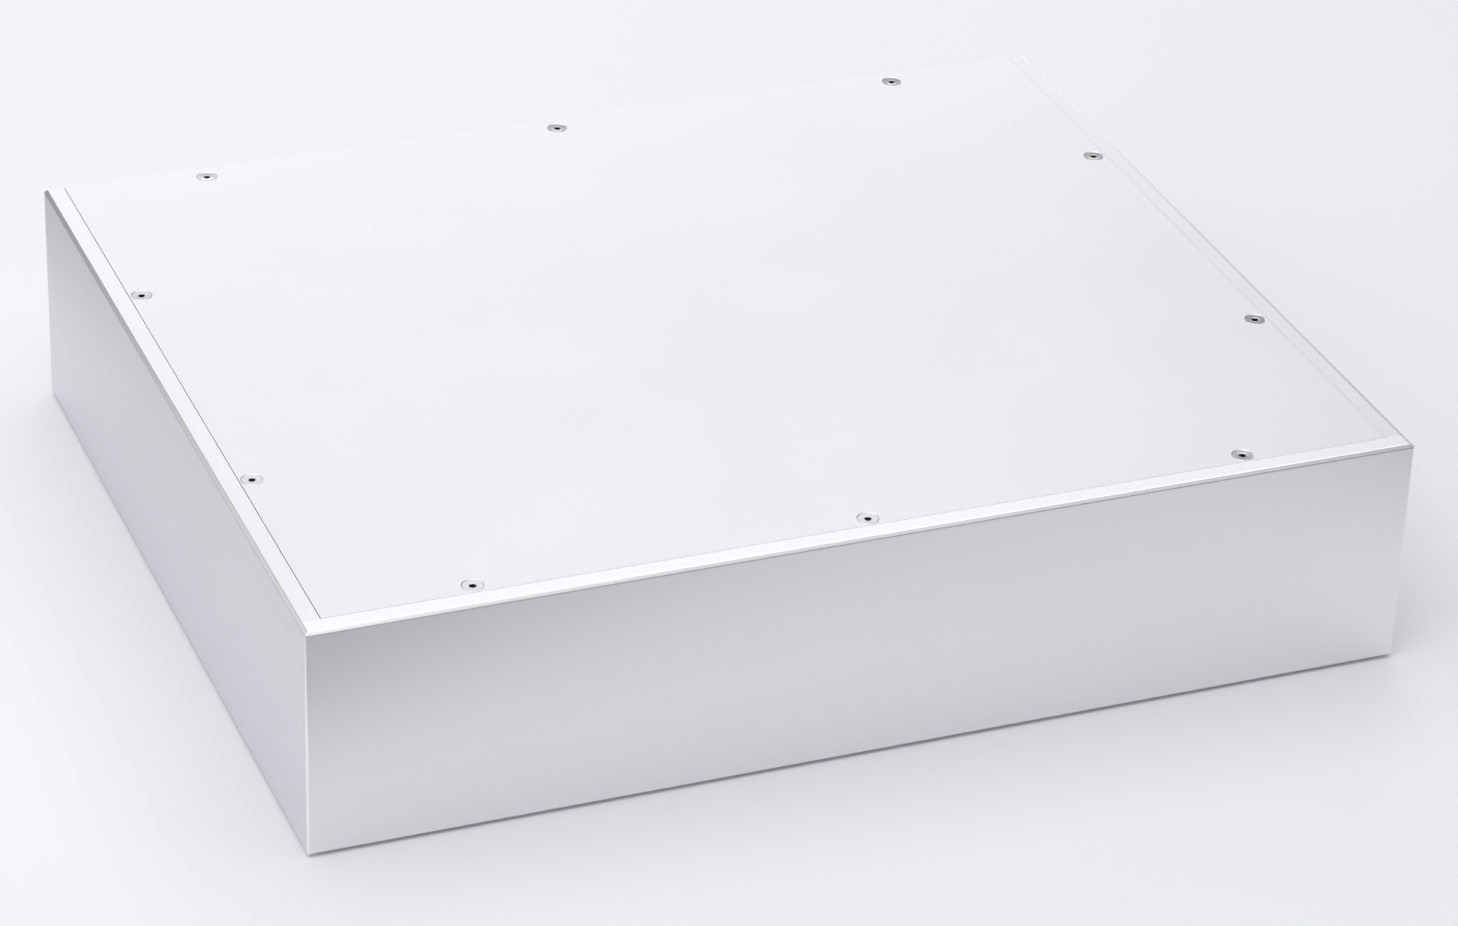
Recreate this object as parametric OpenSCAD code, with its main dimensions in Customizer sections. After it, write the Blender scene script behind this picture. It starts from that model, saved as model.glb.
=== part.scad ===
// Closed amplifier chassis of anodised aluminium plate, in millimetres.
// The origin is at the middle of the underside: +X to the right, front towards -Y, +Z up.

/* [Chassis] */
// Width over the side panels
chassis_w = 430; // [380:1:480]
// Depth over the front and rear panels
chassis_d = 358; // [300:1:420]
// Height over the panels
chassis_h = 92; // [76:1:140]
// Chamfer on the outer edges
edge_chamfer = 1; // [0.5:0.1:1.5]

/* [Plates] */
// Thickness of the front panel
front_t = 8; // [6:0.5:12]
// Thickness of the side panels
side_t = 8; // [6:0.5:12]
// Thickness of the rear panel
rear_t = 4; // [3:0.5:8]
// Thickness of the top and bottom covers
cover_t = 3; // [2.5:0.1:5]
// Seam between a cover and the walls around it
cover_gap = 0.15; // [0.05:0.05:0.5]
// Seam between the rear panel and the side panels
rear_gap = 0.1; // [0.05:0.05:0.5]

/* [Inner frame] */
// Side of the square rails under the covers
rail_w = 10; // [9.5:0.5:14]
// Gap between the ends of the cross rails and the side rails
rail_end_gap = 0.3; // [0.1:0.1:0.8]
// Leg length of the corner brackets
bracket_leg = 16; // [15:0.5:24]
// Thickness of the corner brackets
bracket_t = 2.5; // [2:0.5:4]
// Gap between the ends of a bracket and the rails above and below it
bracket_end_gap = 0.5; // [0.2:0.1:0.9]
// Distance of the bracket screws from the bracket's ends
bracket_screw_inset = 12; // [8:0.5:16]

/* [Cover screws] */
// Shank diameter
cover_screw_d = 4; // [3:0.5:4]
// Overall length of the countersunk screw
cover_screw_l = 10; // [8:1:12]
// Diameter of the countersunk head
cover_head_d = 7.6; // [7:0.1:8]
// Height of the head's straight rim
cover_head_rim = 0.2; // [0.1:0.05:0.3]
// Width of the ring of countersink left around the head
cover_head_ring = 0.4; // [0.3:0.05:0.6]
// Hex socket of the cover screws, across flats
cover_hex_af = 2.5; // [2:0.5:2.5]
// Depth of that hex socket
cover_hex_depth = 1.6; // [1:0.1:2]
// Distance of the outer front and rear screws from the cover's side edges
row_screw_inset = 57; // [40:1:90]
// Distance of the side screws from the cover's front and rear edges
side_screw_inset = 100; // [70:1:120]

/* [Frame screws] */
// Shank diameter of the cap screws inside
frame_screw_d = 3; // [2.5:0.5:4]
// Diameter of their heads
frame_head_d = 5.5; // [5:0.1:6]
// Height of their heads
frame_head_h = 3; // [2:0.1:3.5]
// Hex socket of their heads, across flats
frame_hex_af = 2.5; // [2:0.5:3]
// Depth of that hex socket
frame_hex_depth = 1.5; // [1:0.1:1.8]
// How far the rail screws stand outside the outermost cover screws of a rail
rail_screw_offset = 25; // [12:1:30]
// Metal left between a blind hole and the outer face
blind_skin = 1.2; // [0.8:0.1:1.6]
// Room between a screw's tip and the end of its blind hole
tip_gap = 0.5; // [0.2:0.1:0.8]

/* [Clearances] */
// Radial play of a shank in a drilled hole
hole_play = 0.2; // [0.1:0.05:0.3]
// Radial play of a shank in a tapped hole
thread_play = 0.05; // [0.05:0.05:0.1]
// Height left between a countersunk head and its seat
seat_gap = 0.05; // [0.05:0.05:0.1]

/* [Hidden] */
$fn = 48;
// Overlap of cutting solids past the faces they cut
cut = 1;

// Outer and inner faces of the walls
side_x = chassis_w / 2;
side_in = side_x - side_t;
front_y = -chassis_d / 2;
front_in = front_y + front_t;
rear_y = chassis_d / 2;
rear_in = rear_y - rear_t;
mid_z = chassis_h / 2;

// The covers reach from the front panel back over the rear panel
cover_half_w = side_in - cover_gap;
cover_front = front_in + cover_gap;
cover_mid_y = (cover_front + rear_y) / 2;
cover_low = chassis_h - cover_t;

// Rails lie under the cover, against the walls
rail_low = cover_low - rail_w;
rail_mid_z = cover_low - rail_w / 2;
rail_half_w = side_in - rail_w - rail_end_gap;
front_row_y = front_in + rail_w / 2;
rear_row_y = rear_in - rail_w / 2;
side_row_x = side_in - rail_w / 2;

// Places of the cover screws along the rails
row_xs = [-1, 0, 1] * (cover_half_w - row_screw_inset);
side_ys = [for (s = [-1, 1]) cover_mid_y + s * ((rear_y - cover_front) / 2 - side_screw_inset)];
cover_points = concat(
    [for (x = row_xs) for (y = [front_row_y, rear_row_y]) [x, y]],
    [for (x = [-side_row_x, side_row_x]) for (y = side_ys) [x, y]]
);

// Countersunk head and its seat
csk_d = cover_head_d + 2 * cover_head_ring;
head_sink = cover_head_ring - cover_head_rim - seat_gap;

// Places of the cap screws that hold the rails to the walls
rail_screw_xs = [row_xs[0] - rail_screw_offset, row_xs[2] + rail_screw_offset];
rail_screw_ys = [side_ys[0] - rail_screw_offset, side_ys[1] + rail_screw_offset];
rail_screw_zs = [rail_mid_z, chassis_h - rail_mid_z];

// Brackets stand between the top and bottom rails
bracket_half_h = rail_low - bracket_end_gap - mid_z;
bracket_hole = bracket_t + (bracket_leg - bracket_t) / 2;
bracket_zs = [for (s = [-1, 1]) mid_z + s * (bracket_half_h - bracket_screw_inset)];
bracket_xs = [for (s = [-1, 1]) s * (side_in - bracket_hole)];
bracket_ys = [front_in + bracket_hole, rear_in - bracket_hole];

// How deep a screw goes into a wall of a given thickness
function hole_depth(t) = t - blind_skin;
function grip_depth(t) = hole_depth(t) - tip_gap;

panel_colour = [0.80, 0.81, 0.84];
cover_colour = [0.86, 0.87, 0.89];
rail_colour = [0.70, 0.71, 0.73];
steel_colour = [0.55, 0.56, 0.58];

// A block between two opposite corners
module block(low, high) {
    translate(low) cube(high - low);
}

// Rectangle about the origin with its corners cut off by the edge chamfer
module chamfered_rectangle(w, h) {
    c = edge_chamfer;
    polygon([for (q = [[1, 1], [-1, 1], [-1, -1], [1, -1]])
        for (k = q[0] * q[1] > 0 ? [[0, c], [c, 0]] : [[c, 0], [0, c]])
            [q[0] * (w / 2 - k[0]), q[1] * (h / 2 - k[1])]]);
}

// The whole box with every outer edge chamfered; each wall and cover is cut from it
module outer_form() {
    intersection() {
        linear_extrude(chassis_h) chamfered_rectangle(chassis_w, chassis_d);
        translate([0, 0, mid_z]) rotate([90, 0, 0])
            linear_extrude(chassis_d, center = true) chamfered_rectangle(chassis_w, chassis_h);
        translate([0, 0, mid_z]) rotate([90, 0, 90])
            linear_extrude(chassis_w, center = true) chamfered_rectangle(chassis_d, chassis_h);
    }
}

// Turns a shape made along +Z to point along a horizontal direction
module point_along(direction) {
    rotate([0, 90, atan2(direction[1], direction[0])]) children();
}

// Children as made at the top, or mirrored to the underside
module at_level(top) {
    if (top)
        children();
    else
        translate([0, 0, chassis_h]) mirror([0, 0, 1]) children();
}

// Children as made on the left, or mirrored to the right
module on_side(left) {
    if (left)
        children();
    else
        mirror([1, 0, 0]) children();
}

// Blind tapped holes for rail and bracket screws, drilled outwards from a wall's inner face
module blind_holes(points, direction, t) {
    for (p = points)
        translate(p) point_along(direction)
            translate([0, 0, -cut]) cylinder(d = frame_screw_d + 2 * thread_play, h = hole_depth(t) + cut);
}

// Through holes for the cap screws, drilled along a direction
module screw_holes(points, direction, length) {
    for (p = points)
        translate(p) point_along(direction)
            translate([0, 0, -cut]) cylinder(d = frame_screw_d + 2 * hole_play, h = length + 2 * cut);
}

function row_places(y) = concat(
    [for (x = rail_screw_xs) for (z = rail_screw_zs) [x, y, z]],
    [for (x = bracket_xs) for (z = bracket_zs) [x, y, z]]
);
function side_places(x) = concat(
    [for (y = rail_screw_ys) for (z = rail_screw_zs) [x, y, z]],
    [for (y = bracket_ys) for (z = bracket_zs) [x, y, z]]
);

module front_panel() {
    color(panel_colour) difference() {
        intersection() {
            outer_form();
            block([-side_x, front_y, 0], [side_x, front_in, chassis_h]);
        }
        blind_holes(row_places(front_in), [0, -1], front_t);
    }
}

module rear_panel() {
    half_w = side_in - rear_gap;
    color(panel_colour) difference() {
        block([-half_w, rear_in, cover_t], [half_w, rear_y, cover_low]);
        blind_holes(row_places(rear_in), [0, 1], rear_t);
    }
}

module side_panel() {
    color(panel_colour) difference() {
        intersection() {
            outer_form();
            block([-side_x, front_in, 0], [-side_in, rear_y, chassis_h]);
        }
        blind_holes(side_places(-side_in), [-1, 0], side_t);
    }
}

// A cover in its top place, with a countersunk hole at every screw
module cover() {
    hole_r = cover_screw_d / 2 + hole_play;
    csk_depth = csk_d / 2 - hole_r;
    color(cover_colour) difference() {
        intersection() {
            outer_form();
            block([-cover_half_w, cover_front, cover_low], [cover_half_w, rear_y, chassis_h]);
        }
        for (p = cover_points) {
            translate([p[0], p[1], cover_low - cut]) cylinder(r = hole_r, h = cover_t + 2 * cut);
            translate([p[0], p[1], chassis_h - csk_depth])
                cylinder(r1 = hole_r, r2 = csk_d / 2, h = csk_depth);
            translate([p[0], p[1], chassis_h]) cylinder(d = csk_d, h = cut);
        }
    }
}

// Countersunk hex-socket screw, its head's top at the origin and its shank pointing down
module countersunk_screw() {
    cone_h = (cover_head_d - cover_screw_d) / 2;
    difference() {
        union() {
            translate([0, 0, -cover_head_rim]) cylinder(d = cover_head_d, h = cover_head_rim);
            translate([0, 0, -cover_head_rim - cone_h])
                cylinder(d1 = cover_screw_d, d2 = cover_head_d, h = cone_h);
            translate([0, 0, -cover_screw_l]) cylinder(d = cover_screw_d, h = cover_screw_l - cover_head_rim);
        }
        translate([0, 0, -cover_hex_depth])
            cylinder(d = cover_hex_af / cos(30), h = cover_hex_depth + cut, $fn = 6);
    }
}

module cover_screws() {
    color(steel_colour)
        for (p = cover_points)
            translate([p[0], p[1], chassis_h - head_sink]) countersunk_screw();
}

// A rail across the width in its top place, against the front or the rear panel
module cross_rail(row_y, outward) {
    color(rail_colour) difference() {
        block([-rail_half_w, row_y - rail_w / 2, rail_low], [rail_half_w, row_y + rail_w / 2, cover_low]);
        for (x = row_xs)
            translate([x, row_y, rail_low - cut])
                cylinder(d = cover_screw_d + 2 * thread_play, h = rail_w + 2 * cut);
        screw_holes(
            [for (x = rail_screw_xs) [x, row_y - outward * rail_w / 2, rail_mid_z]], [0, outward], rail_w
        );
    }
}

// The left rail in its top place, along the whole inner depth
module side_rail() {
    color(rail_colour) difference() {
        block([-side_in, front_in, rail_low], [-side_in + rail_w, rear_in, cover_low]);
        for (y = side_ys)
            translate([-side_row_x, y, rail_low - cut])
                cylinder(d = cover_screw_d + 2 * thread_play, h = rail_w + 2 * cut);
        screw_holes([for (y = rail_screw_ys) [-side_in + rail_w, y, rail_mid_z]], [-1, 0], rail_w);
    }
}

// A left-hand corner bracket; inward is +1 at the front and -1 at the rear
module bracket(wall_y, inward) {
    leg_y = wall_y + inward * bracket_leg;
    flange_y = wall_y + inward * bracket_t;
    flange_x = -side_in + bracket_t;
    color(rail_colour) difference() {
        translate([0, 0, mid_z]) linear_extrude(2 * bracket_half_h, center = true) polygon([
            [-side_in, wall_y], [-side_in + bracket_leg, wall_y], [-side_in + bracket_leg, flange_y],
            [flange_x, flange_y], [flange_x, leg_y], [-side_in, leg_y]
        ]);
        screw_holes([for (z = bracket_zs) [bracket_xs[0], flange_y, z]], [0, -inward], bracket_t);
        screw_holes(
            [for (z = bracket_zs) [flange_x, wall_y + inward * bracket_hole, z]], [-1, 0], bracket_t
        );
    }
}

// Hex-socket cap screw, the underside of its head at the origin and its shank along +Z
module cap_screw(length) {
    difference() {
        union() {
            translate([0, 0, -frame_head_h]) cylinder(d = frame_head_d, h = frame_head_h);
            cylinder(d = frame_screw_d, h = length);
        }
        translate([0, 0, -frame_head_h - cut])
            cylinder(d = frame_hex_af / cos(30), h = frame_hex_depth + cut, $fn = 6);
    }
}

// Cap screws whose heads sit at the given places, pointing along a direction
module cap_screws(points, direction, length) {
    color(steel_colour)
        for (p = points)
            translate(p) point_along(direction) cap_screw(length);
}

module front_rail_screws() {
    cap_screws(
        [for (x = rail_screw_xs) for (z = rail_screw_zs) [x, front_in + rail_w, z]],
        [0, -1], rail_w + grip_depth(front_t)
    );
}

module rear_rail_screws() {
    cap_screws(
        [for (x = rail_screw_xs) for (z = rail_screw_zs) [x, rear_in - rail_w, z]],
        [0, 1], rail_w + grip_depth(rear_t)
    );
}

module side_rail_screws() {
    for (s = [-1, 1])
        cap_screws(
            [for (y = rail_screw_ys) for (z = rail_screw_zs) [s * (side_in - rail_w), y, z]],
            [s, 0], rail_w + grip_depth(side_t)
        );
}

module front_bracket_screws() {
    cap_screws(
        [for (x = bracket_xs) for (z = bracket_zs) [x, front_in + bracket_t, z]],
        [0, -1], bracket_t + grip_depth(front_t)
    );
}

module rear_bracket_screws() {
    cap_screws(
        [for (x = bracket_xs) for (z = bracket_zs) [x, rear_in - bracket_t, z]],
        [0, 1], bracket_t + grip_depth(rear_t)
    );
}

module side_bracket_screws() {
    for (s = [-1, 1])
        cap_screws(
            [for (y = bracket_ys) for (z = bracket_zs) [s * (side_in - bracket_t), y, z]],
            [s, 0], bracket_t + grip_depth(side_t)
        );
}

front_panel();
rear_panel();
on_side(true) side_panel();  // left_side_panel
on_side(false) side_panel();  // right_side_panel
at_level(true) cover();  // top_cover
at_level(false) cover();  // bottom_cover
at_level(true) cover_screws();  // top_cover_screws
at_level(false) cover_screws();  // bottom_cover_screws
at_level(true) cross_rail(front_row_y, -1);  // top_front_rail
at_level(true) cross_rail(rear_row_y, 1);  // top_rear_rail
at_level(true) on_side(true) side_rail();  // top_left_rail
at_level(true) on_side(false) side_rail();  // top_right_rail
at_level(false) cross_rail(front_row_y, -1);  // bottom_front_rail
at_level(false) cross_rail(rear_row_y, 1);  // bottom_rear_rail
at_level(false) on_side(true) side_rail();  // bottom_left_rail
at_level(false) on_side(false) side_rail();  // bottom_right_rail
on_side(true) bracket(front_in, 1);  // front_left_bracket
on_side(false) bracket(front_in, 1);  // front_right_bracket
on_side(true) bracket(rear_in, -1);  // rear_left_bracket
on_side(false) bracket(rear_in, -1);  // rear_right_bracket
front_rail_screws();
rear_rail_screws();
side_rail_screws();
front_bracket_screws();
rear_bracket_screws();
side_bracket_screws();
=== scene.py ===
# %% [markdown]
# # A bead-blasted amplifier chassis
# The object is an empty case for an audio amplifier: thick aluminium panels on the front and sides,
# and two flush covers held down by countersunk screws. Its finish is a fine bead blast under clear
# anodising, so nearly all of its look comes from crisp edges, thin seams and soft light on pale metal.
# The packed parts are loaded first, and everything below is measured from them, in metres.

# %% Load the packed parts
import itertools
import math

import bmesh
import bpy
from mathutils import Matrix, Quaternion, Vector


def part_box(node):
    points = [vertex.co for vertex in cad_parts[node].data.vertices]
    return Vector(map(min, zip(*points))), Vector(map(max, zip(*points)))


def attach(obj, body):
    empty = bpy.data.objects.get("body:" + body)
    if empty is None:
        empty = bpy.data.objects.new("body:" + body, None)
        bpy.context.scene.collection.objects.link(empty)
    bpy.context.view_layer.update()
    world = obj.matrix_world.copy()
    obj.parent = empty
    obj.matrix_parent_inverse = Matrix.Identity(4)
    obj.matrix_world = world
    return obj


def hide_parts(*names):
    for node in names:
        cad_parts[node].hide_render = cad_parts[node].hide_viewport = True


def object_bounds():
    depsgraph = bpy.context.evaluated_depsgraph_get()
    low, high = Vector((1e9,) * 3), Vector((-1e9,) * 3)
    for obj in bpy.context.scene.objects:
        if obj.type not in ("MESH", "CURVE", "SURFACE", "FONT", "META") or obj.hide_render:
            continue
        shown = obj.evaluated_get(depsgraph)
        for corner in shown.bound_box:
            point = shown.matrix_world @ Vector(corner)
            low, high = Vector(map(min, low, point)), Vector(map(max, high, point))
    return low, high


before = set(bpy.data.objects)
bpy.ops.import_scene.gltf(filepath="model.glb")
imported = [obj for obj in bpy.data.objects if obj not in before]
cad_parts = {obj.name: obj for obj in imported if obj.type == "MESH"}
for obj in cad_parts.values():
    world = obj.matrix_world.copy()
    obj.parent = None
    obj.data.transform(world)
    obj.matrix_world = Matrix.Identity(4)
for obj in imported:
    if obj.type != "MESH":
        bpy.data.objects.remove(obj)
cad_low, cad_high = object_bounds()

mm = 0.001
scene = bpy.context.scene
print("parts:", len(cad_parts), "size in mm:", [round(s / mm, 2) for s in cad_high - cad_low])

# %% [markdown]
# ## Camera
# The case is seen from above its left front corner through a long lens, so its edges run almost
# parallel. A camera could be turned by three angles, but a place, a point to look at and a small roll
# are easier to think about. The point lies on the top cover, in front of its middle and a little left.

# %% Place the camera
image_size = (1458, 926)
camera_place = Vector((-0.6396, -1.6045, 1.0075))
camera_aim = Vector((-0.0332, -0.1131, cad_high.z))
camera_roll = math.radians(2.06)
lens_length = 124.95
sensor_width = 36.0

camera = bpy.data.objects.new("camera", bpy.data.cameras.new("camera"))
scene.collection.objects.link(camera)
camera.data.lens = lens_length
camera.data.sensor_width = sensor_width
camera.location = camera_place
camera.rotation_mode = "QUATERNION"
look = (camera_aim - camera_place).to_track_quat("-Z", "Y")
camera.rotation_quaternion = look @ Quaternion((0, 0, 1), camera_roll)
scene.camera = camera
print("camera is", round((camera_aim - camera_place).length, 3), "m from the cover, image", image_size)

# %% [markdown]
# ## Shader arithmetic
# A finish is a small tree of nodes, and most of it is arithmetic on masks and noises. Wiring Math nodes
# by hand hides that arithmetic, so one class wraps a socket and turns Python operators into Math nodes.
# Every other node comes from one method that takes its type, its settings and its inputs, and the few
# steps that all the metals share have a short method each.

# %% Wrap sockets so that finishes read as formulas
class Tap:
    """A socket of a node tree. Arithmetic on it adds Math nodes behind it."""

    def __init__(self, recipe, socket):
        self.recipe = recipe
        self.socket = socket

    def math(self, operation, first, second):
        return self.recipe.node("ShaderNodeMath", {"operation": operation}, {0: first, 1: second})

    def __add__(self, other):
        return self.math("ADD", self, other)

    def __radd__(self, other):
        return self.math("ADD", other, self)

    def __sub__(self, other):
        return self.math("SUBTRACT", self, other)

    def __rsub__(self, other):
        return self.math("SUBTRACT", other, self)

    def __mul__(self, other):
        return self.math("MULTIPLY", self, other)

    def __rmul__(self, other):
        return self.math("MULTIPLY", other, self)


class Recipe:
    """The node tree of a material or of the world, emptied and then built node by node."""

    def __init__(self, owner):
        owner.use_nodes = True
        self.tree = owner.node_tree
        self.tree.nodes.clear()

    def node(self, kind, settings=None, inputs=None, output=0):
        made = self.tree.nodes.new(kind)
        for name, value in (settings or {}).items():
            setattr(made, name, value)
        for name, value in (inputs or {}).items():
            if isinstance(value, Tap):
                self.tree.links.new(value.socket, made.inputs[name])
            else:
                made.inputs[name].default_value = value
        return Tap(self, made.outputs[output]) if made.outputs else None

    def rise(self, value, start, end):
        """0 below the start, 1 above the end and a smooth slope between them."""
        return self.node("ShaderNodeMapRange", {"interpolation_type": "SMOOTHSTEP"},
                         {"Value": value, "From Min": start, "From Max": end})

    def mix(self, share, first, second, blend="MIX"):
        """Mixes two colours."""
        return self.node("ShaderNodeMix", {"data_type": "RGBA", "blend_type": blend},
                         {"Factor": share, 6: first, 7: second}, 2)

    def noise(self, place, scale, detail):
        return self.node("ShaderNodeTexNoise", {}, {"Vector": place, "Scale": scale, "Detail": detail})

    def bump(self, height, strength, depth):
        """Tilts the normal as if a height from 0 to 1 stood that deep in the surface."""
        return self.node("ShaderNodeBump", {}, {"Strength": strength, "Distance": depth, "Height": height})

    def metal(self, tone, roughness, normal):
        """Ends the tree of a material as a bare metal."""
        look = {"Base Color": tone, "Metallic": 1.0, "Roughness": roughness, "Normal": normal}
        shade = self.node("ShaderNodeBsdfPrincipled", {}, look)
        self.node("ShaderNodeOutputMaterial", {}, {"Surface": shade})


print("operators ready:", [name for name in vars(Tap) if name.startswith("__r")])

# %% [markdown]
# ## Table and room
# The case stands on a large sheet of white paper. The panels mirror the table in a blurred way, so what
# lies around the case matters as much as the lamps do. In front, on the left and on the right the paper
# fades softly into a grey, and that grey is painted shade: it stands for the light falling off away from
# the case, a pool of light painted on the table, and the panels mirror it as their slow gradients. The
# paper lies a millimetre lower than the case, as it would under thin pads, and the gap draws a dark line
# along the base. The room itself is a plain even grey.

# %% Lay the table and set the room's light
floor_half = 9.0
floor_drop = 1.1 * mm
paper_tone = (0.915, 0.925, 0.955, 1.0)
# Painted shade: the grey that the paper fades into away from the case.
falloff_shade_tone = (0.38, 0.384, 0.395, 1.0)
paper_edges = [(120, 0.35, 0.55), (201, 0.29, 0.37), (284, 0.29, 0.45)]
room_tone = (0.98, 0.99, 1.0, 1.0)
room_strength = 0.27


def paper_in_painted_light_pool():
    """Pale paper whose edges, each given by an azimuth and two distances, fade into a grey of painted
    shade, a pool of light painted on the table.
    """
    finish = bpy.data.materials.new("paper_in_painted_light_pool")
    recipe = Recipe(finish)
    place = recipe.node("ShaderNodeTexCoord", output="Object")
    tone = paper_tone
    for azimuth, fade_start, fade_end in paper_edges:
        outward = (math.sin(math.radians(azimuth)), math.cos(math.radians(azimuth)), 0)
        reach = recipe.node("ShaderNodeVectorMath", {"operation": "DOT_PRODUCT"},
                            {0: place, 1: outward}, "Value")
        # Each edge fades the paper into painted shade.
        tone = recipe.mix(recipe.rise(reach, fade_start, fade_end), tone, falloff_shade_tone)
    shade = recipe.node("ShaderNodeBsdfDiffuse", {}, {"Color": tone})
    recipe.node("ShaderNodeOutputMaterial", {}, {"Surface": shade})
    return finish


def make_floor():
    bm = bmesh.new()
    below = Matrix.Translation((0, 0, cad_low.z - floor_drop))
    bmesh.ops.create_grid(bm, x_segments=1, y_segments=1, size=floor_half, matrix=below)
    mesh = bpy.data.meshes.new("floor")
    bm.to_mesh(mesh)
    bm.free()
    mesh.materials.append(paper_in_painted_light_pool())
    floor = bpy.data.objects.new("floor", mesh)
    scene.collection.objects.link(floor)


def light_room():
    scene.world = bpy.data.worlds.new("room")
    recipe = Recipe(scene.world)
    even = recipe.node("ShaderNodeBackground", {}, {"Color": room_tone, "Strength": room_strength})
    recipe.node("ShaderNodeOutputWorld", {}, {"Surface": even})


make_floor()
light_room()
print("table is", 2 * floor_half, "m wide, paper ends at", [edge[1] for edge in paper_edges], "m")

# %% [markdown]
# ## Softboxes
# A softbox is a large white panel. Its brightness is written as the tone that a mirror would show, where
# 1 is white, and the lamp's power follows from that and its area. One hangs overhead, two stand behind
# the case, one on the left gives the shadow its side and one in front fills it in. The upper one at the
# back hangs askew, so the gap below it widens to the right, and the polished screw heads show that:
# heads on the left and near the camera mirror the upper softbox and look bright, and heads on the right
# and at the back mirror the gap and look grey. A small weak one at the back left shows in the chamfer
# along the left panel, which it lightens towards the camera. The softboxes stand side by side, because
# two that overlap would burn the cover out to white when it is seen from the other side.

# %% Hang the softboxes
softboxes = [
    # name, azimuth from the back, elevation, roll, distance, width, height, brightness
    ("overhead_softbox", 0, 90, 0, 1.56, 2.3, 2.2, 1.25),
    ("back_low_softbox", 13, 11, 0, 1.6, 1.7, 0.62, 1.36),
    ("back_high_softbox", 15, 38.5, 12, 1.6, 1.7, 0.62, 0.68),
    ("back_left_softbox", 305, 14, 0, 1.6, 1.1, 0.75, 0.48),
    ("left_softbox", 258, 31, 0, 1.6, 1.7, 1.6, 0.66),
    ("front_softbox", 204, 38, 0, 1.6, 1.4, 1.4, 0.52),
]
cover_middle = Vector((0, 0, cad_high.z))


def hang_softbox(name, azimuth, elevation, roll, distance, width, height, brightness):
    """A positive roll lifts the right end of the panel, as seen from the case."""
    turn = math.radians(azimuth)
    rise = math.radians(elevation)
    outward = Vector((math.sin(turn) * math.cos(rise), math.cos(turn) * math.cos(rise), math.sin(rise)))
    lamp = bpy.data.lights.new(name, "AREA")
    lamp.shape = "RECTANGLE"
    lamp.size = width
    lamp.size_y = height
    lamp.energy = brightness * math.pi * width * height
    box = bpy.data.objects.new(name, lamp)
    scene.collection.objects.link(box)
    box.location = cover_middle + distance * outward
    box.rotation_mode = "QUATERNION"
    level = (-outward).to_track_quat("-Z", "Y")
    box.rotation_quaternion = level @ Quaternion((0, 0, 1), -math.radians(roll))
    box.visible_camera = False


for softbox in softboxes:
    hang_softbox(*softbox)
print("softboxes:", [softbox[0] for softbox in softboxes])

# %% [markdown]
# ## Blasted and anodised aluminium
# Bead blasting leaves a fine even grain without any direction, and the clear anodising over it keeps the
# metal pale. Up close it is a field of tiny dimples, so a fine noise drives a weak bump and the
# roughness, and a wide soft noise lets the tone drift by about a hundredth, as a real bath does. On top of
# that, the way the outside of the case faces at a point picks its tone, and that is painted light and
# shade: faces that look left or right get a darker tone, painted shade, and the top and bottom strips of
# the panels a paler one, a painted highlight, weaker on the right panel. The chamfers are cut after
# blasting and are smoother, so an attribute of the mesh marks them, and their paler tone is partly bare
# cut metal and partly a painted highlight.

# %% Mix the blasted finishes
grain_scale = 2600.0
cloud_scale = 14.0
tone_drift = 0.03
roughness_drift = 0.06
dimple_strength = 0.15
dimple_depth = 0.02 * mm
blast_roughness = 0.40
cut_smoothness = 0.16
cut_mark = "cut_chamfer"
skin_start = 0.2 * mm
skin_end = 0.05 * mm

cover_tone = (0.865, 0.875, 0.90, 1.0)
front_tone = (0.865, 0.87, 0.89, 1.0)
# Painted highlights: the paler tones of the panels' top and bottom strips, weaker on the right.
front_strip_highlight = (0.96, 0.97, 0.99, 1.0)
# Painted shade: the darker tone of faces that look left or right.
side_painted_shade = (0.765, 0.77, 0.795, 1.0)
left_strip_highlight = (0.89, 0.90, 0.925, 1.0)
right_strip_highlight = (0.855, 0.865, 0.89, 1.0)
# Paler chamfers: partly bare cut metal, partly a painted highlight.
cut_metal_and_highlight_tone = (0.93, 0.935, 0.95, 1.0)


def on_outer_faces(recipe, place, axis):
    """1 on the two outer faces of the case that look along an axis, and 0 between them."""
    reach = (cad_high[axis] - cad_low[axis]) / 2
    along = recipe.node("ShaderNodeSeparateXYZ", {}, {"Vector": place}, "XYZ"[axis])
    middle = cad_low[axis] + reach
    away = recipe.node("ShaderNodeMath", {"operation": "ABSOLUTE"}, {0: along - middle})
    return recipe.rise(away, reach - skin_start, reach - skin_end)


def blasted_aluminium(name, face_tone, strip_highlight):
    finish = bpy.data.materials.new(name)
    recipe = Recipe(finish)
    place = recipe.node("ShaderNodeTexCoord", output="Object")
    cloud = recipe.noise(place, cloud_scale, detail=4.0)
    grain = recipe.noise(place, grain_scale, detail=2.0)
    cut = recipe.node("ShaderNodeAttribute", {"attribute_name": cut_mark}, {}, "Fac")
    # Painted shade on faces that look left or right, then a painted highlight on the top and bottom strips.
    tone = recipe.mix(on_outer_faces(recipe, place, 0), face_tone, side_painted_shade)
    tone = recipe.mix(on_outer_faces(recipe, place, 2), tone, strip_highlight)
    # The chamfers' paler tone is partly bare cut metal and partly a painted highlight.
    tone = recipe.mix(cut, tone, cut_metal_and_highlight_tone)
    tone = recipe.mix(1.0, tone, 1 - tone_drift / 2 + tone_drift * cloud, "MULTIPLY")
    roughness = blast_roughness - cut_smoothness * cut + roughness_drift * (cloud + grain - 1)
    recipe.metal(tone, roughness, recipe.bump(grain, dimple_strength, dimple_depth))
    return finish


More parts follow.
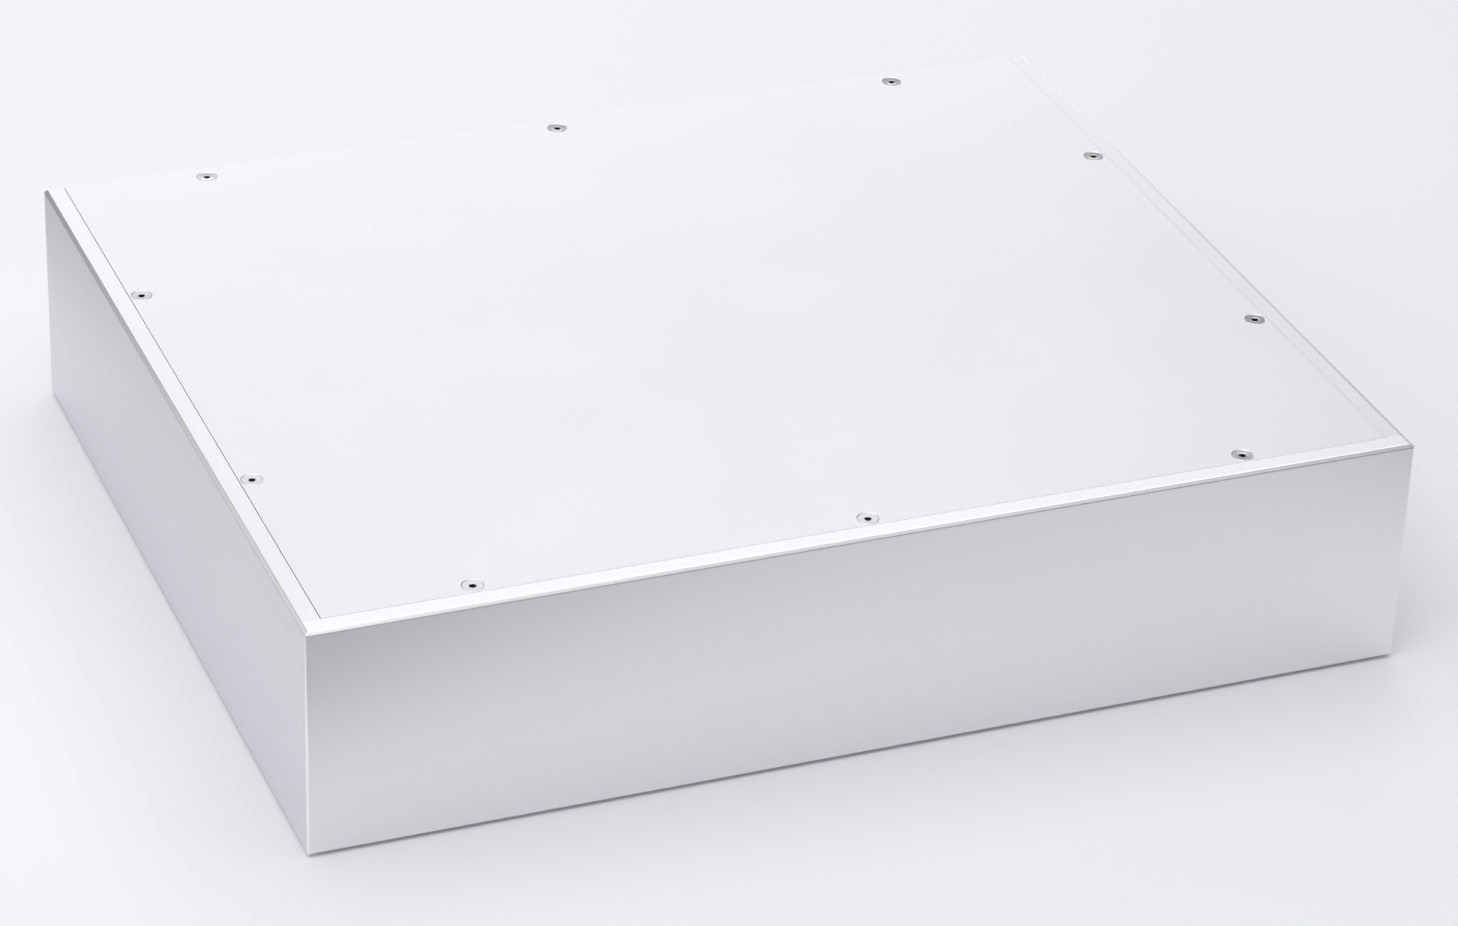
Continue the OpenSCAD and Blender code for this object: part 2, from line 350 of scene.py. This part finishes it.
# Copies of one finish that differ only in painted light and shade.
front_finish = blasted_aluminium("blasted_front", front_tone, front_strip_highlight)
left_finish = blasted_aluminium("blasted_left", side_painted_shade, left_strip_highlight)
right_finish = blasted_aluminium("blasted_right", side_painted_shade, right_strip_highlight)
cover_finish = blasted_aluminium("blasted_cover", cover_tone, cover_tone)
print("blasted finishes:", [m.name for m in bpy.data.materials if m.name.startswith("blasted")])

# %% [markdown]
# ## Milled aluminium
# The bars and angles inside are plain milled stock. The cutter leaves fine lines along the length of the
# bar, so the noise is squeezed across that direction and stretched along it, and the lines change the
# tone, the roughness and the bump together.

# %% Mix the milled finishes
line_scale = 1800.0
line_stretch = 30.0
line_strength = 0.3
line_depth = 0.02 * mm
ridge_start = 0.35
ridge_end = 0.65
groove_roughness = 0.42
ridge_smoothness = 0.12
milled_tone = (0.70, 0.71, 0.73, 1.0)
milled_groove_tone = (0.58, 0.59, 0.61, 1.0)


def milled_aluminium(axis):
    finish = bpy.data.materials.new("milled_along_" + "xyz"[axis])
    recipe = Recipe(finish)
    place = recipe.node("ShaderNodeTexCoord", output="Object")
    squeeze = [line_scale] * 3
    squeeze[axis] = line_stretch
    along = recipe.node("ShaderNodeMapping", {}, {"Vector": place, "Scale": squeeze})
    lines = recipe.noise(along, scale=1.0, detail=3.0)
    ridges = recipe.rise(lines, ridge_start, ridge_end)
    tone = recipe.mix(ridges, milled_groove_tone, milled_tone)
    roughness = groove_roughness - ridge_smoothness * ridges
    recipe.metal(tone, roughness, recipe.bump(lines, line_strength, line_depth))
    return finish


milled_finishes = [milled_aluminium(axis) for axis in range(3)]
print("milled finishes:", [finish.name for finish in milled_finishes])

# %% [markdown]
# ## Screw steel
# A screw head is turned on a lathe, so its top carries faint rings around its own middle. Object
# coordinates can't give those for ten screws in one mesh, so each screw keeps its own coordinates in an
# attribute, with its head's top at zero height, and the rings are a noise of the distance from the axis.
# The socket is broached and dull, so it is rougher, and its shade is painted: below the head's top it gets
# a darker tone.

# %% Mix the screw finishes
own_place = "turned_place"
ring_scale = 7000.0
ring_drift = 0.2
ring_roughness = 0.1
ring_strength = 0.2
ring_depth = 0.01 * mm
socket_flats = 2.5 * mm
corner_r = socket_flats / math.sqrt(3)
socket_fade = 0.1 * mm
shade_start = 0.05 * mm
shade_end = 0.25 * mm
socket_dullness = 0.2

stainless_tone = (0.82, 0.825, 0.84, 1.0)
# Painted shade in the sockets of the stainless screws.
stainless_painted_socket_shade = (0.20, 0.20, 0.21, 1.0)
stainless_roughness = 0.16
zinc_tone = (0.45, 0.455, 0.47, 1.0)
# Painted shade in the sockets of the zinc-plated screws.
zinc_painted_socket_shade = (0.15, 0.15, 0.16, 1.0)
zinc_roughness = 0.32


def turned_steel(name, tone, painted_socket_shade, roughness):
    finish = bpy.data.materials.new(name)
    recipe = Recipe(finish)
    place = recipe.node("ShaderNodeAttribute", {"attribute_name": own_place}, {}, "Vector")
    height = recipe.node("ShaderNodeSeparateXYZ", {}, {"Vector": place}, "Z")
    flat = recipe.node("ShaderNodeVectorMath", {"operation": "MULTIPLY"}, {0: place, 1: (1, 1, 0)})
    radius = recipe.node("ShaderNodeVectorMath", {"operation": "LENGTH"}, {0: flat}, "Value")
    rings = recipe.node("ShaderNodeTexNoise", {"noise_dimensions": "1D"},
                        {"W": radius, "Scale": ring_scale})
    within = 1 - recipe.rise(radius, corner_r, corner_r + socket_fade)
    socket = within * recipe.rise(0 - height, shade_start, shade_end)
    bright = recipe.mix(1.0, tone, 1 - ring_drift / 2 + ring_drift * rings, "MULTIPLY")
    worn = roughness + ring_roughness * (rings - 0.5) + socket_dullness * socket
    # Painted shade: below the head's top the socket gets a darker tone.
    shaded = recipe.mix(socket, bright, painted_socket_shade)
    recipe.metal(shaded, worn, recipe.bump(rings, ring_strength, ring_depth))
    return finish


stainless_finish = turned_steel("stainless_turned", stainless_tone, stainless_painted_socket_shade,
                                stainless_roughness)
zinc_finish = turned_steel("zinc_plated", zinc_tone, zinc_painted_socket_shade, zinc_roughness)
print("screw finishes:", stainless_finish.name, zinc_finish.name)

# %% [markdown]
# ## Where the screws are
# Every hole in this case is there for a screw, so the holes need no list of their own. The packed screws
# come in groups, several to a node. Each group's mesh is copied, its loose triangles are merged, and
# each island of connected vertices is then one screw whose box gives its place, length and direction.

# %% Measure each screw
axes = (Vector((1, 0, 0)), Vector((0, 1, 0)), Vector((0, 0, 1)))
touching = 0.01 * mm
merging = 0.001 * mm
slicing = 0.0001 * mm
middle_height = (cad_low.z + cad_high.z) / 2


def solid_boxes(node):
    """The lowest and highest corner of each separate solid in a packed node."""
    bm = bmesh.new()
    bm.from_mesh(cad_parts[node].data)
    bmesh.ops.remove_doubles(bm, verts=bm.verts, dist=merging)
    waiting = set(bm.verts)
    boxes = []
    while waiting:
        reached = [waiting.pop()]
        for vert in reached:
            for edge in vert.link_edges:
                other = edge.other_vert(vert)
                if other in waiting:
                    waiting.remove(other)
                    reached.append(other)
        corners = [vert.co for vert in reached]
        boxes.append((Vector(map(min, *corners)), Vector(map(max, *corners))))
    bm.free()
    return sorted(boxes, key=lambda box: [round(c, 5) for c in box[0]])


screw_boxes = {name: solid_boxes(name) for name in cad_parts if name.endswith("_screws")}
print("screws:", {name: len(boxes) for name, boxes in screw_boxes.items()})

# %% Find the screws that reach into a part
def long_axis(low, high):
    size = high - low
    return max(range(3), key=lambda axis: size[axis])


def screws_in(low, high, axis):
    """The middles of the screws that run along an axis and reach into a box."""
    found = []
    across = [other for other in range(3) if other != axis]
    for screw_low, screw_high in sum(screw_boxes.values(), []):
        middle = (screw_low + screw_high) / 2
        beside = any(not low[a] < middle[a] < high[a] for a in across)
        short = screw_low[axis] > high[axis] - touching or screw_high[axis] < low[axis] + touching
        if long_axis(screw_low, screw_high) == axis and not beside and not short:
            found.append(middle)
    return found


print("screws in the top cover:", len(screws_in(*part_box("top_cover"), 2)))

# %% [markdown]
# ## Blocks and edges
# Plates and bars start as a cube that is scaled and moved to a part's box. What makes them look like
# metal is their edges: no real edge is perfectly sharp, and even a rounding of a twentieth of a
# millimetre catches a line of light. A Bevel modifier would treat all edges alike, so the bevels are
# made here, each with its own edges and width.

# %% Start a block and bevel chosen edges
corner_angle = math.radians(40)
shoulder_angle = math.radians(20)


def new_block(low, high):
    bm = bmesh.new()
    middle = Matrix.Translation((low + high) / 2)
    bmesh.ops.create_cube(bm, size=1.0, matrix=middle @ Matrix.Diagonal((*(high - low), 1.0)))
    return bm


def bevel_edges(bm, edges, width, segments):
    bmesh.ops.bevel(bm, geom=edges, offset=width, offset_type="OFFSET", segments=segments, profile=0.5,
                    affect="EDGES", clamp_overlap=True, material=-1)


def whole(bm):
    return bm.verts[:] + bm.edges[:] + bm.faces[:]


def slice_off(bm, point, outward):
    """Cuts everything off that lies outward of a plane, and returns the new points and edges."""
    return bmesh.ops.bisect_plane(bm, geom=whole(bm), dist=slicing, plane_co=point, plane_no=outward,
                                  clear_outer=True)["geom_cut"]


def sharp_edges(bm, angle):
    return [e for e in bm.edges if len(e.link_faces) == 2 and e.calc_face_angle() > angle]


trial = new_block(cad_low, cad_high)
print("a block has", len(sharp_edges(trial, corner_angle)), "sharp edges")
trial.free()

# %% [markdown]
# ## Drilling
# A hole could be cut with a boolean, which is slow to trust on thin plates. Here the flat face is taken
# out and filled again around rings of edges, and each ring is then extruded down the hole, step by step.
# A list of depths and radii describes a plain bore, a blind hole or a countersink in the same way.

# %% Drill round holes into a flat face
hole_steps = 48
same_way = 0.999


def flat_face(bm, outward):
    return max((f for f in bm.faces if f.normal.dot(outward) > same_way), key=lambda f: f.calc_area())


def fill_around(bm, face, rings):
    """Puts a flat face back with round openings in it."""
    outward = face.normal.copy()
    rim = list(face.edges)
    bmesh.ops.delete(bm, geom=[face], context="FACES_ONLY")
    bmesh.ops.triangle_fill(bm, edges=rim + sum(rings, []), use_beauty=True, normal=outward)


def new_ring(bm, segments, radius, matrix):
    verts = bmesh.ops.create_circle(bm, segments=segments, radius=radius, matrix=matrix)["verts"]
    return list({e for v in verts for e in v.link_edges})


def only_verts(parts):
    return [part for part in parts if isinstance(part, bmesh.types.BMVert)]


def sink_ring(bm, ring, middle, scale, shift):
    """Extrudes a ring of edges, scales it about its middle and moves it."""
    made = bmesh.ops.extrude_edge_only(bm, edges=ring)["geom"]
    verts = only_verts(made)
    bmesh.ops.scale(bm, vec=(scale,) * 3, space=Matrix.Translation(-middle), verts=verts)
    bmesh.ops.translate(bm, vec=shift, verts=verts)
    fresh = set(verts)
    return [e for e in made if isinstance(e, bmesh.types.BMEdge) and fresh.issuperset(e.verts)]


def drill(bm, outward, centres, profile, through):
    """Drills the face that looks outward. The profile holds (depth, radius) steps from the mouth down."""
    face = flat_face(bm, outward)
    level = face.verts[0].co.dot(outward)
    turn = outward.to_track_quat("Z", "Y").to_matrix().to_4x4()
    middles = [centre + outward * (level - centre.dot(outward)) for centre in centres]
    rings = [new_ring(bm, hole_steps, profile[0][1], Matrix.Translation(m) @ turn) for m in middles]
    fill_around(bm, face, rings)
    for (depth, radius), (next_depth, next_radius) in zip(profile, profile[1:]):
        sink = outward * (depth - next_depth)
        rings = [sink_ring(bm, ring, middle - outward * depth, next_radius / radius, sink)
                 for ring, middle in zip(rings, middles)]
    if through:
        fill_around(bm, flat_face(bm, -outward), rings)
    else:
        for ring in rings:
            bmesh.ops.edgeloop_fill(bm, edges=ring)


print("a hole has", hole_steps, "sides")

# %% [markdown]
# ## From mesh to piece
# A finished mesh is shaded smooth, with its sharp edges kept. Flat faces next to narrow bevels would
# still look slightly pillowed, because a corner's normal is an average, so a Weighted Normal modifier
# lets the large faces win. Then the piece rides on the case and stands for its packed part, which is
# hidden.

# %% Turn a mesh into a piece of the case
sharp_angle = math.radians(35)


def finish_piece(bm, node, finish):
    bmesh.ops.recalc_face_normals(bm, faces=bm.faces)
    mesh = bpy.data.meshes.new("finished_" + node)
    bm.to_mesh(mesh)
    bm.free()
    mesh.shade_smooth()
    mesh.set_sharp_from_angle(angle=sharp_angle)
    mesh.materials.append(finish)
    piece = bpy.data.objects.new(mesh.name, mesh)
    scene.collection.objects.link(piece)
    even = piece.modifiers.new("even_shading", "WEIGHTED_NORMAL")
    even.keep_sharp = True
    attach(piece, "root")
    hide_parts(node)
    return piece


# %% [markdown]
# ## Panels
# Four panels make the walls. An edge of a panel is chamfered only where both of its faces lie on the
# outside of the whole case, and stays square where it butts against a neighbour, so each panel compares
# its own box with the case's box. A chamfer is planed off with one cut, which lets those along the top
# be wider than the others. Their shoulders are then rounded, most of all along the top of the right
# side, where the rounding turns away from the lamps and draws a thin grey line. All other edges are
# only just broken, because the seams between the parts are hair-thin. Cap screws hold the panels from
# inside, in blind holes.

# %% Make the panels
base_chamfer = 0.8 * mm
upright_chamfer = 0.75 * mm
top_chamfer = 1.3 * mm
shoulder_round = 0.2 * mm
shoulder_steps = 3
rubbed_round = 0.7 * mm
rubbed_steps = 6
rubbed_side = Vector((math.sin(math.pi / 8), 0, math.cos(math.pi / 8)))
seam_break = 0.05 * mm
break_steps = 2
nearly_along = 0.99
square_on = 0.95
leaning_out = 0.5
tapped_play = 0.05 * mm
drilled_play = 0.2 * mm
frame_screw_r = 1.5 * mm
blind_skin = 1.2 * mm


def outer_directions(low, high):
    """The directions in which a part reaches the outside of the case."""
    found = [-axes[a] for a in range(3) if abs(low[a] - cad_low[a]) < touching]
    return found + [axes[a] for a in range(3) if abs(high[a] - cad_high[a]) < touching]


def plane_edge(bm, first, second):
    """Cuts a chamfer between the two outer faces that look in the given directions."""
    width = {-1: base_chamfer, 0: upright_chamfer, 1: top_chamfer}[first.z + second.z]
    corner = sum((side * max(v.co.dot(side) for v in bm.verts) for side in (first, second)), Vector())
    cut = slice_off(bm, corner - width * first, first + second)
    bmesh.ops.edgeloop_fill(bm, edges=[part for part in cut if isinstance(part, bmesh.types.BMEdge)])


def rubbed(edge):
    """True for the shoulder between a top face and the chamfer along the right side."""
    between = edge.link_faces[0].normal + edge.link_faces[1].normal
    return between.normalized().dot(rubbed_side) > nearly_along


def new_plate(low, high):
    bm = new_block(low, high)
    outward = outer_directions(low, high)

    def outer(edge):
        return all(any(f.normal.dot(way) > leaning_out for way in outward) for f in edge.link_faces)

    for first, second in itertools.combinations(outward, 2):
        if first.dot(second) == 0:
            plane_edge(bm, first, second)
    bmesh.ops.recalc_face_normals(bm, faces=bm.faces)
    shoulders = [e for e in sharp_edges(bm, shoulder_angle) if rubbed(e)]
    bevel_edges(bm, shoulders, rubbed_round, rubbed_steps)
    shoulders = [e for e in sharp_edges(bm, shoulder_angle) if outer(e)]
    bevel_edges(bm, shoulders, shoulder_round, shoulder_steps)
    bevel_edges(bm, sharp_edges(bm, corner_angle), seam_break, break_steps)
    mark = bm.faces.layers.float.new(cut_mark)
    for face in bm.faces:
        face[mark] = float(max(map(abs, face.normal)) < square_on)
    return bm


def make_panel(node):
    low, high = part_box(node)
    size = high - low
    axis = min(range(3), key=lambda a: size[a])
    inward = axes[axis] * (1 if (low + high)[axis] < 0 else -1)
    radius = frame_screw_r + tapped_play
    depth = size[axis] - blind_skin
    bm = new_plate(low, high)
    drill(bm, inward, screws_in(low, high, axis), [(0, radius), (depth, radius)], False)
    return finish_piece(bm, node, panel_finishes[node])


panel_finishes = {"front_panel": front_finish, "rear_panel": left_finish,
                  "left_side_panel": left_finish, "right_side_panel": right_finish}
panels = [make_panel(node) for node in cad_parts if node.endswith("_panel")]
print("panels:", {piece.name: len(piece.data.polygons) for piece in panels})

# %% [markdown]
# ## Covers
# The two covers are let in flush. A cover has a little play and lies pushed over to the right, so the seam
# along its left edge is open and the one along its right edge is all but closed. Each screw hole is a
# countersink a little wider than the screw's head, and the thin dark ring that this leaves around a head
# is one of the few details on the plain top.

# %% Make the covers
cover_screw_r = 2.0 * mm
countersink_r = 4.2 * mm
cover_shift = Vector((0.1 * mm, 0, 0))


def make_cover(node):
    low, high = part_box(node)
    low, high = low + cover_shift, high + cover_shift
    outward = axes[2] * (1 if high.z > middle_height else -1)
    hole_r = cover_screw_r + drilled_play
    profile = [(0, countersink_r), (countersink_r - hole_r, hole_r), (high.z - low.z, hole_r)]
    bm = new_plate(low, high)
    drill(bm, outward, screws_in(low, high, 2), profile, True)
    return finish_piece(bm, node, cover_finish)


covers = [make_cover(node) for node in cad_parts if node.endswith("_cover")]
print("covers:", {piece.name: len(piece.data.polygons) for piece in covers})

# %% [markdown]
# ## Rails
# Square bars run along the insides of the panels. The cover screws thread into them from above or
# below, and cap screws pass through them into the panels, so each bar is drilled in two directions.

# %% Make the rails
rail_round = 0.3 * mm


def make_rail(node):
    low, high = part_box(node)
    size = high - low
    across = min((0, 1), key=lambda a: size[a])
    tapped_r = cover_screw_r + tapped_play
    drilled_r = frame_screw_r + drilled_play
    bm = new_block(low, high)
    bevel_edges(bm, list(bm.edges), rail_round, break_steps)
    drill(bm, axes[2], screws_in(low, high, 2), [(0, tapped_r), (size.z, tapped_r)], True)
    drill(bm, axes[across], screws_in(low, high, across), [(0, drilled_r), (size[across], drilled_r)], True)
    return finish_piece(bm, node, milled_finishes[1 - across])


rails = [make_rail(node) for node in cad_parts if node.endswith("_rail")]
print("rails:", {piece.name: len(piece.data.polygons) for piece in rails})

# %% [markdown]
# ## Corner brackets
# An angle stands in each corner and joins two panels. Six points in the corner's plane are one face,
# which is extruded upwards, and both legs are drilled.

# %% Make the corner brackets
bracket_t = 2.5 * mm
bracket_round = 0.25 * mm


def make_bracket(node):
    low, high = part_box(node)
    leg = high.x - low.x
    inward = [axes[a] * (1 if low[a] < 0 else -1) for a in (0, 1)]
    corner = Vector((low.x if low.x < 0 else high.x, low.y if low.y < 0 else high.y, low.z))
    outline = [(0, 0), (leg, 0), (leg, bracket_t), (bracket_t, bracket_t), (bracket_t, leg), (0, leg)]
    bm = bmesh.new()
    foot = bm.faces.new([bm.verts.new(corner + inward[0] * a + inward[1] * b) for a, b in outline])
    made = bmesh.ops.extrude_face_region(bm, geom=[foot])["geom"]
    bmesh.ops.translate(bm, vec=(0, 0, high.z - low.z), verts=only_verts(made))
    bmesh.ops.recalc_face_normals(bm, faces=bm.faces)
    bevel_edges(bm, sharp_edges(bm, corner_angle), bracket_round, break_steps)
    radius = frame_screw_r + drilled_play
    for axis in (0, 1):
        drill(bm, inward[axis], screws_in(low, high, axis), [(0, radius), (bracket_t, radius)], True)
    return finish_piece(bm, node, milled_finishes[2])


brackets = [make_bracket(node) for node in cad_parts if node.endswith("_bracket")]
print("brackets:", {piece.name: len(piece.data.polygons) for piece in brackets})

# %% [markdown]
# ## Threads and sockets
# A screw is modelled upright with the top of its head at zero height. Spinning an outline makes the
# head, and spinning a small tooth while it climbs makes the thread, which is then cut flat at both ends.
# A hexagon socket has a round mouth and six flats. Both come from the head's open ring, which is drawn
# inwards twice: its points first keep to a circle, and then each slides on to the nearest flat.

# %% Spin outlines and threads
turn_steps = 48
thread_depth = 0.6
crest_start = 0.44
crest_end = 0.56
overrun = 1.5
lead_length = 0.6
tip_taper = 0.75
trial_pitch = 0.5 * mm
trial_length = 5.0 * mm


def spin_outline(bm, outline, climb=0.0):
    """Spins (radius, height) points about the upright axis. With a climb it is one turn of a thread."""
    verts = [bm.verts.new((radius, 0, height)) for radius, height in outline]
    edges = [bm.edges.new(pair) for pair in zip(verts, verts[1:])]
    bmesh.ops.spin(bm, geom=verts + edges, cent=(0, 0, 0), axis=(0, 0, 1), dvec=(0, 0, climb / turn_steps),
                   angle=math.tau, steps=turn_steps, use_merge=climb == 0, use_duplicate=False)


def copy_all(bm, parts, matrix):
    """Adds a moved copy of some parts of the mesh."""
    made = bmesh.ops.duplicate(bm, geom=parts)["geom"]
    bmesh.ops.transform(bm, matrix=matrix, verts=only_verts(made))


def open_ring(bm, height):
    """The edges at a height that still lack a face."""
    level = [e for e in bm.edges if all(abs(v.co.z - height) < touching for v in e.verts)]
    return [e for e in level if len(e.link_faces) < 2]


def cut_thread(bm, major, pitch, top, tip):
    """A thread that is open at its top and closed by a tapered tip. Its tooth is given in pitches."""
    minor = major - thread_depth * pitch
    start = top + overrun * pitch
    tooth = [(minor, start), (major, start - crest_start * pitch), (major, start - crest_end * pitch),
             (minor, start - pitch)]
    spin_outline(bm, tooth, -pitch)
    turn = whole(bm)
    for count in range(1, math.ceil((start - tip) / pitch) + 1):
        copy_all(bm, turn, Matrix.Translation((0, 0, -pitch * count)))
    bmesh.ops.remove_doubles(bm, verts=bm.verts, dist=merging)
    lead = lead_length * pitch
    slice_off(bm, (0, 0, top), (0, 0, 1))
    slice_off(bm, (0, 0, tip + lead), (0, 0, -1))
    end = sink_ring(bm, open_ring(bm, tip + lead), Vector((0, 0, tip + lead)), tip_taper, (0, 0, -lead))
    bmesh.ops.edgeloop_fill(bm, edges=end)


trial = bmesh.new()
cut_thread(trial, frame_screw_r, trial_pitch, 0, -trial_length)
print("a short thread has", len(trial.faces), "faces")
trial.free()

# %% Close a head round its hexagon socket
socket_lead = 0.15 * mm
point_r = 0.1
point_depth = 0.3


def cut_socket(bm, depth):
    """The drill's point below the flats is given in the socket's own radius."""
    rim = open_ring(bm, 0)
    mouth_r = corner_r + socket_lead
    mouth = sink_ring(bm, rim, Vector(), mouth_r / rim[0].verts[0].co.length, (0, 0, 0))
    hexagon = sink_ring(bm, mouth, Vector(), 1.0, (0, 0, -socket_lead))
    for vert in {v for e in hexagon for v in e.verts}:
        beside_flat = math.atan2(vert.co.y, vert.co.x) % (math.tau / 6) - math.tau / 12
        vert.co.xy *= socket_flats / 2 / math.cos(beside_flat) / mouth_r
    foot = sink_ring(bm, hexagon, Vector((0, 0, -socket_lead)), 1.0, (0, 0, socket_lead - depth))
    point = sink_ring(bm, foot, Vector((0, 0, -depth)), point_r, (0, 0, -point_depth * corner_r))
    bmesh.ops.edgeloop_fill(bm, edges=point)


print("socket is", round(socket_flats / mm, 2), "mm across its flats")

# %% [markdown]
# ## Two kinds of screw
# The covers have countersunk screws, and the frame has cap screws with a knurled head. The knurl is made
# by drawing in every second point of the head's rim. One screw of each length is modelled, and copies of
# it are turned and moved to their places. Each is turned on from the last by a fixed step and leans by a
# hair, because no one lines up the sockets and no head sits quite square, so neighbouring heads don't
# mirror the lamps alike.

# %% Model a countersunk screw and a cap screw
collar = 0.5 * mm
runout = 0.3 * mm


def new_screw(outline, major, pitch, length, socket_depth):
    """A head outline that ends at its neck, with a thread below it and a socket in its top."""
    bm = bmesh.new()
    neck = outline[-1][1] - collar
    cut_thread(bm, major, pitch, neck - runout, -length)
    spin_outline(bm, outline + [(major, neck)])
    bmesh.ops.bridge_loops(bm, edges=open_ring(bm, neck) + open_ring(bm, neck - runout))
    cut_socket(bm, socket_depth)
    return bm


def countersunk_screw(length):
    head_r = 3.8 * mm
    rim = 0.2 * mm
    soft = 0.06 * mm
    pitch = 0.7 * mm
    socket_depth = 1.6 * mm
    neck = rim + head_r - cover_screw_r
    outline = [(head_r - soft, 0), (head_r, -soft), (head_r, -rim), (cover_screw_r, -neck)]
    return new_screw(outline, cover_screw_r, pitch, length, socket_depth)


def cap_screw(length):
    head_r = 2.75 * mm
    head_h = 3.0 * mm
    soft = 0.25 * mm
    pitch = 0.5 * mm
    socket_depth = 1.5 * mm
    knurl = 0.965
    outline = [(head_r - soft, 0), (head_r, -soft), (head_r, soft - head_h), (head_r - soft, -head_h),
               (frame_screw_r, -head_h)]
    bm = new_screw(outline, frame_screw_r, pitch, length, socket_depth)
    rim = [v for v in bm.verts if v.co.xy.length > head_r - touching]
    drawn_in = [v for v in rim if round(math.atan2(v.co.y, v.co.x) / math.tau * turn_steps) % 2]
    bmesh.ops.scale(bm, vec=(knurl, knurl, 1), verts=drawn_in)
    return bm


for kind in (countersunk_screw, cap_screw):
    trial = kind(10 * mm)
    print(kind.__name__, "has", len(trial.faces), "faces")
    trial.free()

# %% Copy the screws to their places
first_turn = math.radians(280)
turn_step = math.radians(135)
head_lean = math.radians(1.0)


def head_direction(low, high, axis):
    """Cover screws point their heads out of the case, and frame screws point them into it."""
    side = 1 if (low + high)[axis] / 2 > (middle_height if axis == 2 else 0) else -1
    return axes[axis] * (side if axis == 2 else -side)


def make_screws(node, kind, finish):
    boxes = screw_boxes[node]
    axis = long_axis(*boxes[0])
    bm = kind(boxes[0][1][axis] - boxes[0][0][axis])
    own = bm.verts.layers.float_vector.new(own_place)
    for vert in bm.verts:
        vert[own] = vert.co
    first = whole(bm)
    for count, (low, high) in enumerate(boxes):
        outward = head_direction(low, high, axis)
        reach = (high - low)[axis] / 2
        top = Matrix.Translation((low + high) / 2 + outward * reach)
        turn = Quaternion((0, 0, 1), first_turn + count * turn_step) @ Quaternion((1, 0, 0), head_lean)
        copy_all(bm, first, top @ (outward.to_track_quat("Z", "Y") @ turn).to_matrix().to_4x4())
    bmesh.ops.delete(bm, geom=only_verts(first), context="VERTS")
    return finish_piece(bm, node, finish)


for node in screw_boxes:
    if "cover" in node:
        made = make_screws(node, countersunk_screw, stainless_finish)
    else:
        made = make_screws(node, cap_screw, zinc_finish)
    print(made.name, len(made.data.polygons), "faces")

# %% [markdown]
# ## Closing
# The colours are shown as they are written.

# %% Show the colours as written
scene.view_settings.view_transform = "Standard"
